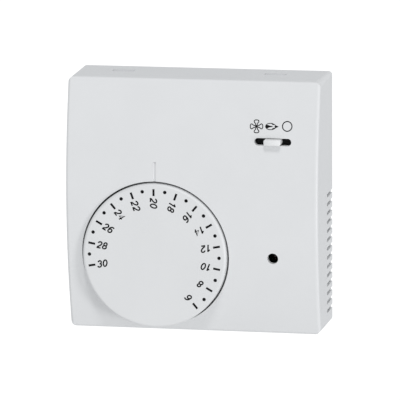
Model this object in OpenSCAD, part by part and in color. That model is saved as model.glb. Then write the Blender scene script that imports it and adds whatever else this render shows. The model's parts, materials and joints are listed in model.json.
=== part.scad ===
// Wall thermostat: a bulged plastic casing with a large flat dial, a three-position
// mode slider and a lamp window, over a gas-capsule mechanism and a snap switch.
//
// Every piece is drawn in panel axes: x to the right, y up the wall and z out from
// the wall towards the room. on_wall() then stands the panel upright, so that the
// wall is the plane Y = 0, the front looks along -Y and up is +Z.

/* [Casing] */
// Width of the casing
case_w = 84; // [83:0.5:88]
// Height of the casing
case_h = 84; // [83:0.5:88]
// Depth of the casing at its top and bottom edges
edge_depth = 23.4; // [23:0.1:25]
// Extra depth of the bulged front at mid height
bulge = 6.1; // [5.5:0.1:7]
// Radius of the casing's four outline corners at the front edges
corner_r = 2.2; // [1.6:0.1:3]
// Radius of the same corners at the wall
corner_rear_r = 1.2; // [0.4:0.1:1.5]
// Radius along the casing's front edges
front_r = 1.0; // [0.6:0.1:1.4]
// Thickness of the cover's walls
cover_wall = 2.0; // [1.8:0.1:2.2]
// Gap between the wall and the cover's rear edge
cover_lift = 0.4; // [0.2:0.1:0.8]

/* [Side vents] */
// Number of slots in each side wall
vent_count = 14; // [6:1:14]
// Distance from one slot to the next
vent_pitch = 3.0; // [2.6:0.1:3.1]
// Height of one slot
vent_h = 1.2; // [1:0.1:1.6]
// Reach of the slots from the wall
vent_depth = 11; // [9:0.2:12]
// Height of the solid strip that closes the slots at the wall
vent_foot = 1.8; // [1.4:0.1:2.4]
// Depth of the shallow groove that each slot leaves in that strip
vent_groove = 0.45; // [0.3:0.05:0.8]
// Height of the middle of the top slot
vent_top = 2.0; // [0:0.5:3]

/* [Dial] */
// Place of the dial's centre across the casing
dial_x = -12.2; // [-12.5:0.05:-12]
// Height of the dial's centre
dial_y = -15.95; // [-16.2:0.05:-15.5]
// Radius of the dial
dial_r = 24; // [23.5:0.1:24.2]
// Gap between the dial and its well
dial_gap = 0.6; // [0.3:0.1:0.7]
// Depth of the dial's flat face
dial_face = 30.7; // [30.5:0.1:31.5]
// Turn of the dial from 20 to its warmest mark
warm_turn = 100; // [90:5:110]
// Turn of the dial from 20 to its coldest mark
cold_turn = 140; // [120:5:140]

/* [Controls] */
// Place of the slider slot across the casing
slot_x = 26.95; // [26:0.05:27.5]
// Height of the slider slot
slot_y = 22.6; // [22:0.1:23.5]
// Length of the slider slot
slot_len = 12.2; // [12:0.1:13]
// Width of the slider slot
slot_w = 2.4; // [2.3:0.1:2.8]
// Width of the slider knob
knob_w = 5.5; // [5:0.1:6.5]
// Height of the slider knob
knob_h = 1.9; // [1.6:0.1:2]
// Travel of the slider each way from its middle place
slider_travel = 2.8; // [2:0.1:2.8]
// Height of the lamp window
lamp_y = -15.95; // [-17:0.05:-15]
// Radius of the lamp window
lamp_r = 1.8; // [1.6:0.1:2]

/* [Fixing] */
// Distance between the two wall screws
screw_spacing = 60; // [60:0.5:60]
// Width of a wall screw slot
screw_slot_w = 4.2; // [4:0.1:4.6]
// Length of a wall screw slot
screw_slot_len = 7.2; // [6.5:0.1:8]

/* [Hidden] */
$fn = 96;
over = 1;                                // how far a cutter reaches past a face

// Casing
half_w = case_w / 2;
half_h = case_h / 2;
bulge_r = (half_h * half_h + bulge * bulge) / (2 * bulge);
bulge_axis = edge_depth + bulge - bulge_r;
fillet_y = half_h - front_r;
fillet_z = bulge_axis + sqrt(pow(bulge_r - front_r, 2) - fillet_y * fillet_y);
corner_taper = (corner_r - corner_rear_r) / edge_depth;
inner_w = case_w - 2 * cover_wall;
inner_h = case_h - 2 * cover_wall;
inner_corner_r = 1;
latch_x = [-26.3, 24.7];
latch_window_w = 7.4;
latch_window_z = [6.8, 10.6];
latch_pocket = 0.5;
thumb_recess_z = [7.8, 11.4];
thumb_recess_cut = [0.9, 0.1];          // depth of its sloping floor, at the wall side and the front
pointer_r = 0.5;
pointer_len = 7;

// Base plate
fit_gap = 0.3;
base_w = inner_w - 2 * fit_gap;
base_h = inner_h - 2 * fit_gap;
base_t = 2.2;
rim_t = 1.6;
rim_z = 7.4;
latch_w = 7.2;
latch_z = 11.4;
nose_z = 9.0;
cable_window = [22, 14];
cable_window_at = [-15, 12];
cable_window_r = 1.5;
core_cell = 7.4;
core_pitch = 8.6;
core_depth = 0.8;
core_span = 4;                           // cells each way from the middle of the plate

// Dial well in the cover
well_r = dial_r + dial_gap;
well_wall = 1.6;
well_floor = 20.9;
floor_t = 1.6;
hub_r = 6;
run_gap = 0.05;
collar_r = 8;
collar_z = 18.3;
tooth_angle = 14;
stop_angle = 360 - warm_turn - cold_turn - tooth_angle - 1;
stop_r = [16.5, 18.5];
stop_top = 22.6;

// Dial
dial_t = 2.0;
skirt_t = 1.8;
dial_back = 21.4;
dial_edge_r = 0.9;
hub_end = 16.9;
groove_z = [17.3, 18.1];
groove_r = 5.4;
retainer_r = 7.6;
retainer_mouth = 4;

// Spindle, from the wall side outwards
thread_r = 2.0;
neck_r = 1.6;
clip_r = 3.4;
clip_mouth = 1.8;
journal_r = 2.2;
head_r = 3.0;
head_flat = 2.2;
spindle_z = [10.5, 14.85, 15.45, 16.75, 25.5];
socket_z = 26;

// Bracket
steel_t = 1.0;
bracket_x = [-29, 4.6];
bracket_half = 8;
bracket_screw_y = 18.5;
bridge_z = 15.6;
bush_r = 3.6;
post_y = 6.6;
post_r = 0.8;
nut_z = [10.9, 14.1];

// Capsule
capsule_r = 15;
capsule_rise = 1.6;
button_foot_r = 2;
capsule_z = base_t + steel_t;
capsule_mid = capsule_z + 2;
disc_t = 0.35;
button_z = 8.3;

// Lever
lever_z = [8.4, 9.2];
lever_w = 6;
pin_x = -26.2;
pin_z = 9.5;
curl_r = 1.6;
plunger_x = 7.8;
plunger_r = 1.3;
plunger_top = 12.1;
switch_screw_y = 6.5;
switch_screw_z = 14;

// Snap switch, hung on the bracket's right leg
case_x = [4.6, 11];
case_y = [-10, 10];
case_z = [10.4, 18.8];
case_wall = 0.9;
blade_z = 13.4;

// Terminal block
ways = 5;
way_pitch = 8;
block_x = -34;
block_y = [24.5, 36];
block_top = 15;

// Circuit board
board_x = [14.6, 38.4];
board_y = [-25, 34];
board_z = 14;
board_t = 1.6;
board_top = board_z + board_t;
board_screws_at = [[18, 30.5], [35, 30.5], [18.4, -21.5], [34.6, -21.5]];
notch_h = 13;
notch_x = 24.5;
can_size = [12.6, 6.4, 5];
knob_corner_r = 0.5;
shield_z = [24.1, 24.5];
shield_h = 4.4;
knob_top = 30.3;
lamp_x = slot_x;
resistor_at = [19.5, 2];
resistor_lead_y = 6;
lead_x = 1.27;                           // half the pitch of the lamp's leads
switch_pins = [-3.75, -1.25, 1.25, 3.75];
pin_reach = 1.2;                         // how far the leads stand out behind the board
foot_z = [board_top + 1.3, board_top + 4.3, board_top + 8.3];
stub_x = [-1.9, 1.9];
stub_y = [-0.75, 0.75];

casing_colour = [0.88, 0.89, 0.9];
steel_colour = [0.72, 0.73, 0.75];
brass_colour = [0.8, 0.65, 0.35];
copper_colour = [0.75, 0.45, 0.3];

// ---------- shared shapes ----------

module on_wall() {
    rotate([90, 0, 0]) children();
}

module at_dial() {
    translate([dial_x, dial_y, 0]) children();
}

module rounded(w, h, r) {
    square([w - 2 * r, h], center = true);
    square([w, h - 2 * r], center = true);
    for (x = [-1, 1], y = [-1, 1])
        translate([x * (w / 2 - r), y * (h / 2 - r)]) circle(r);
}

// A stadium of overall length l and width w, lying along x
module slot_shape(l, w) {
    square([l - w, w], center = true);
    for (x = [-1, 1]) translate([x * (l - w) / 2, 0]) circle(w / 2);
}

module slab(z0, z1) {
    translate([0, 0, z0]) linear_extrude(z1 - z0) children();
}

module block(x, y, z) {
    translate([x[0], y[0], z[0]]) cube([x[1] - x[0], y[1] - y[0], z[1] - z[0]]);
}

module rod(r, z0, z1) {
    translate([0, 0, z0]) cylinder(r = r, h = z1 - z0);
}

module ring(r_in, r_out, z0, z1) {
    difference() {
        rod(r_out, z0, z1);
        rod(r_in, z0 - over, z1 + over);
    }
}

module sector(r, z0, z1, from, to) {
    rotate(from) translate([0, 0, z0]) rotate_extrude(angle = to - from) square([r, z1 - z0]);
}

// A soft wire of radius r along a route, rounded at each point
module bent_wire(route, r) {
    for (i = [0:len(route) - 2]) hull() {
        translate(route[i]) sphere(r, $fn = 10);
        translate(route[i + 1]) sphere(r, $fn = 10);
    }
}

// A slotted cheese-head screw that enters towards the wall, its head resting at z
module screw(z, r, reach, head_r, head_h) {
    difference() {
        union() {
            rod(r, z - reach, z);
            rod(head_r, z, z + head_h);
        }
        translate([0, 0, z + head_h]) cube([3 * head_r, head_r / 3.2, head_h], center = true);
    }
}

// ---------- casing ----------

// The bulged block: side profile, drum and outline cut from each other
module casing_block() {
    difference() {
        intersection() {
            slab(cover_lift, edge_depth + bulge + over) square([case_w, case_h], center = true);
            side_profile_bar();
            front_drum();
        }
        for (turn = [0:90:270]) rotate(turn) corner_cutter();
    }
}

// What rounds one upright corner: outside a plane, except for the leaning cone that
// touches both walls, so that the radius grows steadily from the wall to the front
module corner_cutter() {
    lean = atan(sqrt(2) * corner_taper);
    half_angle = asin(sin(lean) / sqrt(2)) + 0.02;
    apex = corner_rear_r / corner_taper;
    reach = apex + 2 * edge_depth;
    translate([half_w, half_h, -apex]) rotate(45) difference() {
        rotate([0, -atan(tan(lean) / 2), 0]) translate([0, -case_w / 2, 0]) cube([reach, case_w, 2 * reach]);
        rotate([0, -lean, 0]) cylinder(r1 = 0, r2 = reach * tan(half_angle), h = reach);
    }
}

module side_profile_bar() {
    reach = 2 * bulge_r;
    slope = fillet_y / (fillet_z - bulge_axis);
    rotate([90, 0, 90]) translate([0, 0, -half_w]) linear_extrude(case_w) {
        intersection() {
            translate([0, bulge_axis]) circle(bulge_r, $fn = 360);
            polygon([
                [0, bulge_axis],
                [slope * reach, bulge_axis + reach],
                [-slope * reach, bulge_axis + reach]
            ]);
        }
        translate([-half_h, 0]) square([case_h, fillet_z]);
        for (y = [-1, 1]) translate([y * fillet_y, fillet_z]) circle(front_r);
    }
}

// The bulge is part of a drum that lies along x, with its two rims rounded
module front_drum() {
    translate([0, 0, bulge_axis]) rotate([0, 90, 0]) rotate_extrude($fn = 360) {
        translate([0, -half_w]) square([bulge_r - front_r, case_w]);
        translate([0, -half_w + front_r]) square([bulge_r, case_w - 2 * front_r]);
        for (x = [-1, 1]) translate([bulge_r - front_r, x * (half_w - front_r)]) circle(front_r);
    }
}

module casing_hollow() {
    intersection() {
        slab(-over, edge_depth + bulge) rounded(inner_w, inner_h, inner_corner_r);
        translate([-half_w, 0, bulge_axis]) rotate([0, 90, 0])
            cylinder(r = bulge_r - cover_wall, h = case_w, $fn = 360);
    }
}

module vent_cutters() {
    for (i = [0:vent_count - 1], side = [-1, 1])
        translate([side * half_w, vent_top - i * vent_pitch, 0]) {
            translate([-cover_wall - over, -vent_h / 2, vent_foot])
                cube([2 * (cover_wall + over), vent_h, vent_depth - vent_h / 2 - vent_foot]);
            translate([-vent_groove, -vent_h / 2, -over])
                cube([2 * vent_groove, vent_h, vent_foot + 2 * over]);
            translate([-cover_wall - over, 0, vent_depth - vent_h / 2]) rotate([0, 90, 0])
                cylinder(r = vent_h / 2, h = 2 * (cover_wall + over), $fn = 24);
        }
}

// Over each latch: a pocket inside the top wall and a sloping thumb recess outside
module latch_window_cutters() {
    for (x = latch_x) translate([x, 0, 0]) {
        block([-latch_window_w / 2, latch_window_w / 2],
            [half_h - cover_wall - over, half_h - cover_wall + latch_pocket], latch_window_z);
        translate([-latch_window_w / 2, half_h, 0]) rotate([90, 0, 90]) linear_extrude(latch_window_w)
            polygon([
                [over, thumb_recess_z[0]],
                [-thumb_recess_cut[0], thumb_recess_z[0]],
                [-thumb_recess_cut[1], thumb_recess_z[1]],
                [over, thumb_recess_z[1]]
            ]);
    }
}

// The engraved mark that the dial is read against
module pointer_cutter() {
    intersection() {
        translate([dial_x, 0, bulge_axis]) rotate([0, 90, 0])
            rotate_extrude($fn = 360) translate([bulge_r, 0]) circle(pointer_r, $fn = 24);
        translate([dial_x, dial_y + dial_r, 0])
            block([-2 * pointer_r, 2 * pointer_r], [0, pointer_len], [edge_depth, edge_depth + 2 * bulge]);
    }
}

module cover_shell() {
    color(casing_colour) on_wall() difference() {
        union() {
            difference() {
                casing_block();
                casing_hollow();
            }
            intersection() {
                at_dial() {
                    rod(well_r + well_wall, well_floor - floor_t, dial_face);
                    rod(collar_r, collar_z, well_floor);
                }
                casing_block();
            }
        }
        at_dial() {
            difference() {
                rod(well_r, well_floor, dial_face + over);
                difference() {
                    sector(stop_r[1], well_floor - over, stop_top,
                        90 + cold_turn + tooth_angle / 2 + 0.5,
                        90 + cold_turn + tooth_angle / 2 + 0.5 + stop_angle);
                    rod(stop_r[0], well_floor - 2 * over, stop_top + over);
                }
            }
            rod(hub_r + run_gap, collar_z - over, well_floor + over);
        }
        translate([slot_x, slot_y, 0]) slab(edge_depth - over, 2 * edge_depth)
            slot_shape(slot_len, slot_w);
        translate([lamp_x, lamp_y, 0]) rod(lamp_r, edge_depth, 2 * edge_depth);
        pointer_cutter();
        vent_cutters();
        latch_window_cutters();
    }
}

// ---------- base plate ----------

module base_plate() {
    color(casing_colour) on_wall() difference() {
        union() {
            slab(0, base_t) rounded(base_w, base_h, inner_corner_r);
            difference() {
                slab(0, rim_z) rounded(base_w, base_h, inner_corner_r);
                slab(base_t, rim_z + over)
                    square([base_w - 2 * rim_t, base_h - 2 * rim_t], center = true);
            }
            for (x = latch_x) translate([x, 0, 0]) latch_tongue();
            for (at = board_screws_at) translate(at) rod(2.8, 0, board_z);
        }
        translate(cable_window_at) slab(-over, base_t + over)
            rounded(cable_window[0], cable_window[1], cable_window_r);
        core_pockets();
        for (x = [-1, 1]) translate([x * screw_spacing / 2, 0, -over])
            linear_extrude(base_t + 2 * over) slot_shape(screw_slot_len, screw_slot_w);
        for (at = board_screws_at) translate(at) rod(0.9, base_t, board_z + over);
        at_dial() for (y = [-1, 1]) translate([0, y * bracket_screw_y, 0]) rod(1.1, 0.6, base_t + over);
    }
}

// Openings and posts that the pockets keep clear of: place, half width, half height
function kept_clear() = concat(
    [[cable_window_at[0], cable_window_at[1], cable_window[0] / 2 + 1, cable_window[1] / 2 + 1]],
    [for (x = [-1, 1]) [x * screw_spacing / 2, 0, screw_slot_len / 2 + 1.5, screw_slot_w / 2 + 2]],
    [for (y = [-1, 1]) [dial_x, dial_y + y * bracket_screw_y, 2.2, 2.2]],
    [for (at = board_screws_at) [at[0], at[1], 2.2, 2.2]]
);

function is_clear(x, y) = len([
    for (k = kept_clear())
        if (abs(x - k[0]) < k[2] + core_cell / 2 && abs(y - k[1]) < k[3] + core_cell / 2) k
]) == 0;

// A waffle of shallow pockets in the back, which keeps the moulding thin and flat
module core_pockets() {
    for (i = [-core_span:core_span - 1], j = [-core_span:core_span - 1]) {
        x = (i + 0.5) * core_pitch;
        y = (j + 0.5) * core_pitch;
        if (is_clear(x, y)) translate([x, y, 0]) slab(-over, core_depth)
            rounded(core_cell, core_cell, inner_corner_r);
    }
}

// A springy tongue on the top rim; its nose sits under the cover's inner pocket
module latch_tongue() {
    y1 = base_h / 2;
    block([-latch_w / 2, latch_w / 2], [y1 - rim_t, y1 - 0.4], [0, latch_z]);
    translate([-latch_w / 2, y1, 0]) rotate([90, 0, 90]) linear_extrude(latch_w)
        polygon([[-0.5, rim_z - 0.5], [0.15, rim_z], [0.15, nose_z], [-0.5, latch_z]]);
}

// ---------- dial and its spindle ----------

module dial() {
    wall_in = dial_r - skirt_t;
    color(casing_colour) on_wall() at_dial() difference() {
        union() {
            rotate_extrude() {
                translate([0, dial_face - dial_t]) square([dial_r - dial_edge_r, dial_t]);
                translate([wall_in, dial_back]) square([skirt_t, dial_face - dial_edge_r - dial_back]);
                translate([dial_r - dial_edge_r, dial_face - dial_edge_r]) circle(dial_edge_r, $fn = 48);
                translate([0, hub_end]) square([hub_r, dial_face - dial_t - hub_end]);
            }
            // the tooth that meets the well's stop
            intersection() {
                sector(stop_r[1] - 0.3, dial_back, dial_face - dial_t + 0.5,
                    90 - tooth_angle / 2, 90 + tooth_angle / 2);
                ring(stop_r[0] + 0.3, stop_r[1] - 0.3, dial_back, dial_face - dial_t + 0.5);
            }
        }
        difference() {
            rod(head_r + run_gap, hub_end - over, socket_z);
            translate([-hub_r, head_flat + run_gap, spindle_z[3] - 2 * over])
                cube([2 * hub_r, hub_r, socket_z]);
        }
        ring(groove_r, hub_r + over, groove_z[0], groove_z[1]);
    }
}

module dial_retaining_ring() {
    color(steel_colour) on_wall() at_dial() difference() {
        ring(groove_r + run_gap, retainer_r, groove_z[0] + run_gap, groove_z[1] - run_gap);
        translate([-retainer_mouth / 2, -retainer_r - over, groove_z[0] - over])
            cube([retainer_mouth, retainer_r, 3 * over]);
    }
}

module spindle() {
    color(brass_colour) on_wall() at_dial() difference() {
        union() {
            rod(thread_r, spindle_z[0], spindle_z[1]);
            rod(neck_r, spindle_z[1], spindle_z[2]);
            rod(journal_r, spindle_z[2], spindle_z[3]);
            rod(head_r, spindle_z[3], spindle_z[4]);
        }
        translate([-2 * head_r, head_flat, spindle_z[3]]) cube([4 * head_r, 2 * head_r, socket_z]);
    }
}

module spindle_clip() {
    color(steel_colour) on_wall() at_dial() difference() {
        ring(neck_r + run_gap, clip_r, spindle_z[1] + run_gap, spindle_z[2] - run_gap);
        translate([-clip_mouth / 2, -clip_r - over, spindle_z[1] - over])
            cube([clip_mouth, clip_r, 3 * over]);
    }
}

module spindle_bush() {
    color(brass_colour) on_wall() at_dial()
        ring(journal_r + run_gap, bush_r, bridge_z, bridge_z + steel_t);
}

module guide_post() {
    color(steel_colour) on_wall() at_dial() translate([0, post_y, 0])
        rod(post_r, nut_z[0] - 0.7, bridge_z + steel_t);
}

module range_nut() {
    cup_r = 4.9;
    color([0.2, 0.2, 0.22]) on_wall() at_dial() difference() {
        union() {
            rod(cup_r, nut_z[0], nut_z[1]);
            block([-1.6, 1.6], [0, post_y], [nut_z[1] - 1.6, nut_z[1]]);
            translate([0, post_y, 0]) rod(1.6, nut_z[1] - 1.6, nut_z[1]);
        }
        rod(cup_r - 0.8, nut_z[0] - over, nut_z[1] - 1.2);
        rod(thread_r + run_gap, nut_z[0] - over, nut_z[1] + over);
        translate([0, post_y, 0]) rod(post_r + run_gap, nut_z[0], nut_z[1] + over);
    }
}

module range_spring() {
    turns = 3;
    coil_r = 3.3;
    wire_r = 0.28;
    z0 = lever_z[1] + wire_r + 0.05;
    z1 = nut_z[1] - 1.2 - wire_r - 0.05;
    color(steel_colour) on_wall() at_dial()
        for (i = [0:turns]) translate([0, 0, z0 + i * (z1 - z0) / turns])
            rotate_extrude() translate([coil_r, 0]) circle(wire_r, $fn = 24);
}

// ---------- bracket and gas capsule ----------

module mechanism_bracket() {
    leg_z = [base_t, bridge_z + steel_t];
    color(steel_colour) on_wall() translate([0, dial_y, 0]) difference() {
        union() {
            block(bracket_x, [-bracket_half, bracket_half], [base_t, base_t + steel_t]);
            block([bracket_x[0], bracket_x[0] + steel_t], [-bracket_half, bracket_half], leg_z);
            block([bracket_x[1] - steel_t, bracket_x[1]], [-bracket_half, bracket_half], leg_z);
            block(bracket_x, [-bracket_half, bracket_half], [bridge_z, bridge_z + steel_t]);
            translate([dial_x, 0, 0]) block([-4, 4], [-bracket_screw_y - 3, bracket_screw_y + 3],
                [base_t, base_t + steel_t]);
            for (y = [-1, 1]) translate([0, y * (lever_w / 2 + 1), 0])
                block([bracket_x[0], pin_x + 1.4], [-0.5, 0.5], [pin_z - 1.4, pin_z + 1.4]);
        }
        translate([dial_x, 0, 0]) {
            rod(bush_r, bridge_z - over, bridge_z + 2 * over);
            translate([0, post_y, 0]) rod(post_r, bridge_z - over, bridge_z + 2 * over);
            rod(button_foot_r + run_gap, base_t - over, base_t + 2 * over);
            for (y = [-1, 1]) translate([0, y * bracket_screw_y, 0])
                rod(1.3, base_t - over, base_t + 2 * over);
        }
        // window that the lever passes through
        block([bracket_x[1] - 2 * steel_t, bracket_x[1] + over], [-4, 4],
            [lever_z[0] - 1.4, lever_z[1] + 1.4]);
        // seat of the lever pin in the two ears
        translate([pin_x, 0, pin_z]) rotate([90, 0, 0])
            cylinder(r = post_r, h = 3 * lever_w, center = true);
        switch_screw_holes(0.95);
    }
}

module bracket_screws() {
    color(steel_colour) on_wall() at_dial() for (y = [-1, 1])
        translate([0, y * bracket_screw_y, 0]) screw(base_t + steel_t, 1.05, 2.4, 2.1, 1.3);
}

// One corrugated disc: rings at rising heights, like ripples, between r = 0 and the rim
module corrugated_disc(rise) {
    ripples = 3;
    flat_r = 4;
    step = (capsule_r - 1.5 - flat_r) / (2 * ripples);
    crest = [for (i = [0:2 * ripples]) [flat_r + i * step, rise - (i % 2) * 0.5 - 0.12 * i]];
    outer = concat([[0, rise]], crest, [[capsule_r - 1.2, 0.02], [capsule_r, 0.02]]);
    thickness = [0, disc_t];
    rotate_extrude() polygon(concat(
        [for (p = outer) p + thickness],
        [for (i = [len(outer) - 1:-1:0]) outer[i]]
    ));
}

module capsule_rear_disc() {
    color(copper_colour) on_wall() at_dial() translate([0, 0, capsule_mid]) mirror([0, 0, 1])
        corrugated_disc(capsule_rise);
    color(copper_colour) on_wall() at_dial() rod(button_foot_r, base_t, capsule_mid - capsule_rise);
}

module capsule_front_disc() {
    color(copper_colour) on_wall() at_dial() translate([0, 0, capsule_mid])
        corrugated_disc(capsule_rise);
}

module capsule_button() {
    top = capsule_mid + capsule_rise + disc_t;
    color(brass_colour) on_wall() at_dial() {
        rod(3, top, top + 0.8);
        rod(1.4, top + 0.8, button_z);
    }
}

// The pinched copper tube that the capsule was filled through
module filling_tube() {
    z = capsule_mid;
    color(copper_colour) on_wall() at_dial() bent_wire([
        [0, -capsule_r - 0.65, z],
        [0, -capsule_r - 2.4, z],
        [8, -capsule_r - 3.6, z]
    ], 0.6);
}

// ---------- lever and snap switch ----------

module switch_lever() {
    color(steel_colour) on_wall() translate([0, dial_y, 0]) difference() {
        union() {
            block([pin_x, plunger_x + 1.6], [-lever_w / 2, lever_w / 2], lever_z);
            translate([pin_x, 0, pin_z]) rotate([90, 0, 0])
                cylinder(r = curl_r, h = lever_w, center = true);
        }
        translate([pin_x, 0, pin_z]) rotate([90, 0, 0])
            cylinder(r = post_r + run_gap, h = 2 * lever_w, center = true);
    }
}

module lever_pin() {
    color(steel_colour) on_wall() translate([pin_x, dial_y, pin_z]) rotate([90, 0, 0])
        cylinder(r = post_r, h = lever_w + 3.4, center = true);
}

module at_switch() {
    translate([0, dial_y, 0]) children();
}

module switch_screw_holes(r) {
    for (y = [-1, 1]) translate([0, y * switch_screw_y, switch_screw_z]) rotate([0, 90, 0])
        cylinder(r = r, h = 3 * case_x[1], center = true, $fn = 24);
}

module switch_case() {
    color([0.12, 0.12, 0.13]) on_wall() at_switch() difference() {
        union() {
            difference() {
                block([case_x[0], case_x[1] - case_wall], case_y, case_z);
                block([case_x[0] + case_wall, case_x[1]], [case_y[0] + case_wall, case_y[1] - case_wall],
                    [case_z[0] + case_wall, case_z[1] - case_wall]);
            }
            for (y = [-1, 1]) translate([case_x[0], y * switch_screw_y, switch_screw_z]) rotate([0, 90, 0])
                cylinder(r = 2, h = case_x[1] - case_wall - case_x[0], $fn = 24);
        }
        switch_screw_holes(1.1);
        translate([plunger_x, 0, 0]) rod(plunger_r + run_gap, case_z[0] - over, case_z[0] + 2 * over);
        // gates for the three blades at the ends
        for (y = [-1, 1]) translate([0, y * case_y[1], 0])
            block([case_x[0] + 2, case_x[0] + 4.5], [-2, 2], [16.2, 16.8]);
        block([case_x[0] + 2, case_x[0] + 4.5], [case_y[0] - over, case_y[0] + 2], [11.3, 11.9]);
    }
}

module switch_lid() {
    color([0.85, 0.83, 0.78]) on_wall() at_switch() difference() {
        block([case_x[1] - case_wall, case_x[1]], case_y, case_z);
        switch_screw_holes(1.1);
    }
}

module switch_plunger() {
    color([0.75, 0.15, 0.12]) on_wall() at_switch() translate([plunger_x, 0, 0]) {
        rod(plunger_r, lever_z[1] + 0.1, plunger_top);
        rod(plunger_r + 0.4, plunger_top - 0.7, plunger_top);
    }
}

// The snap blade and the two contacts that it jumps between
module snap_blade() {
    color(copper_colour) on_wall() at_switch() {
        block([6.3, 9.3], [-4.2, 4.2], [blade_z, blade_z + 0.25]);
        block([7.3, 8.3], [-4.2, -3.2], [blade_z + 0.1, case_z[1] - case_wall]);
    }
}

module switch_contacts() {
    color(brass_colour) on_wall() at_switch() translate([plunger_x, 3.2, 0]) {
        rod(0.9, case_z[0] + case_wall, blade_z - 0.3);
        rod(0.9, blade_z + 0.55, case_z[1] - case_wall);
    }
}

module switch_terminals() {
    blade_x = [case_x[0] + 2.1, case_x[0] + 4.4];
    color(brass_colour) on_wall() at_switch() {
        for (y = [-1, 1]) translate([0, y * case_y[1], 0])
            block(blade_x, [y > 0 ? -1.8 : -3.5, y > 0 ? 3.5 : 1.8], [16.25, 16.75]);
        block(blade_x, [case_y[0] - 3.5, case_y[0] + 1.8], [11.35, 11.85]);
    }
}

module switch_screws() {
    color(steel_colour) on_wall() at_switch() for (y = [-1, 1])
        translate([case_x[1], y * switch_screw_y, switch_screw_z]) rotate([0, 90, 0])
            screw(0, 0.9, 7.8, 1.8, 1.1);
}

// ---------- terminal block ----------

module at_ways() {
    for (i = [0:ways - 1]) translate([block_x + 1 + (i + 0.5) * way_pitch, 0, 0]) children();
}

module terminal_block() {
    mid = (block_y[0] + block_y[1]) / 2;
    color([0.93, 0.93, 0.9]) on_wall() difference() {
        block([block_x, block_x + 2 + ways * way_pitch], block_y, [base_t, block_top]);
        at_ways() {
            translate([0, mid, 0]) rod(2.6, base_t + 4, block_top + over);
            block([-2.7, 2.7], [block_y[0] - over, mid + 3], [base_t + 1.6, base_t + 7.4]);
        }
    }
}

module terminal_clamps() {
    mid = (block_y[0] + block_y[1]) / 2;
    color(brass_colour) on_wall() at_ways() difference() {
        block([-2.5, 2.5], [mid - 2.6, mid + 2.6], [base_t + 1.8, base_t + 7.2]);
        block([-1.7, 1.7], [mid - 4, mid + 4], [base_t + 2.6, base_t + 5.4]);
        translate([0, mid, 0]) rod(1.3, base_t + 5, base_t + 8);
    }
}

module terminal_screws() {
    mid = (block_y[0] + block_y[1]) / 2;
    color(steel_colour) on_wall() at_ways() translate([0, mid, 0])
        screw(base_t + 8.2, 1.25, 3.8, 2.2, 1.6);
}

// ---------- circuit board ----------

module circuit_board() {
    color([0.1, 0.4, 0.25]) on_wall() difference() {
        block(board_x, board_y, [board_z, board_top]);
        block([notch_x, board_x[1] + over], [-notch_h / 2, notch_h / 2], [board_z - over, board_top + over]);
        for (at = board_screws_at) translate(at) rod(1.3, board_z - over, board_top + over);
        for (x = [-1, 1]) translate([lamp_x + lead_x * x, lamp_y, 0])
            rod(0.45, board_z - over, board_top + over);
        for (y = [-1, 1]) translate([resistor_at[0], resistor_at[1] + resistor_lead_y * y, 0])
            rod(0.45, board_z - over, board_top + over);
        for (x = switch_pins) translate([slot_x + x, slot_y, 0])
            rod(0.6, board_z - over, board_top + over);
    }
}

module board_screws() {
    color(steel_colour) on_wall() for (at = board_screws_at) translate(at)
        screw(board_top, 0.85, 7, 2.2, 1.4);
}

module slide_switch_base() {
    color([0.35, 0.2, 0.12]) on_wall() translate([slot_x, slot_y, 0]) {
        block([-can_size[0] / 2, can_size[0] / 2], [-can_size[1] / 2, can_size[1] / 2],
            [board_top, board_top + 1.2]);
        for (x = switch_pins) translate([x, 0, 0]) rod(0.5, board_z - pin_reach, board_top + 0.1);
    }
}

module slide_switch_can() {
    z = [board_top + 1.2, board_top + can_size[2]];
    x = can_size[0] / 2;
    y = can_size[1] / 2;
    color(steel_colour) on_wall() translate([slot_x, slot_y, 0]) difference() {
        block([-x, x], [-y, y], z);
        block([-x + 0.4, x - 0.4], [-y + 0.4, y - 0.4], [z[0] - over, z[1] - 0.4]);
        block([-4.9, 4.9], [-1.15, 1.15], [z[1] - over, z[1] + over]);
    }
}

// The moving contact carrier, its stub standing up through the can
module slider_foot() {
    color([0.15, 0.15, 0.16]) on_wall() translate([slot_x, slot_y, 0]) {
        block([-2.8, 2.8], [-2.5, 2.5], [foot_z[0], foot_z[1]]);
        block(stub_x, stub_y, [foot_z[1], foot_z[2]]);
    }
}

module mode_knob() {
    foot = board_top + can_size[2] + 0.4;
    color(casing_colour) on_wall() translate([slot_x, slot_y, 0]) difference() {
        union() {
            slab(foot, knob_top) rounded(knob_w, knob_h, knob_corner_r);
            slab(foot, foot + 2.2) rounded(knob_w, 4.4, knob_corner_r);
        }
        block(stub_x, stub_y, [foot - over, foot_z[2]]);
    }
}

// The black strip on the knob that hides the switch behind the slot at every setting
module dust_shield() {
    color([0.08, 0.08, 0.09]) on_wall() translate([slot_x, slot_y, 0]) slab(shield_z[0], shield_z[1])
        difference() {
            square([slot_len + 2 * slider_travel + 1, shield_h], center = true);
            rounded(knob_w + 2 * run_gap, knob_h + 2 * run_gap, knob_corner_r + run_gap);
        }
}

// ---------- lamp, resistor and wires ----------

module lamp() {
    z0 = board_top + 4;
    z1 = 24.2;
    color([0.35, 0.05, 0.05]) on_wall() translate([lamp_x, lamp_y, 0]) {
        rod(1.5, z0, z1 - 1.5);
        translate([0, 0, z1 - 1.5]) sphere(1.5, $fn = 48);
        rod(1.9, z0, z0 + 0.9);
    }
}

module lamp_holder() {
    color([0.12, 0.12, 0.12]) on_wall() translate([lamp_x, lamp_y, 0]) difference() {
        rod(2.2, board_top, board_top + 4);
        for (x = [-1, 1]) translate([lead_x * x, 0, 0]) rod(0.4, board_top - over, board_top + 5);
    }
}

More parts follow.
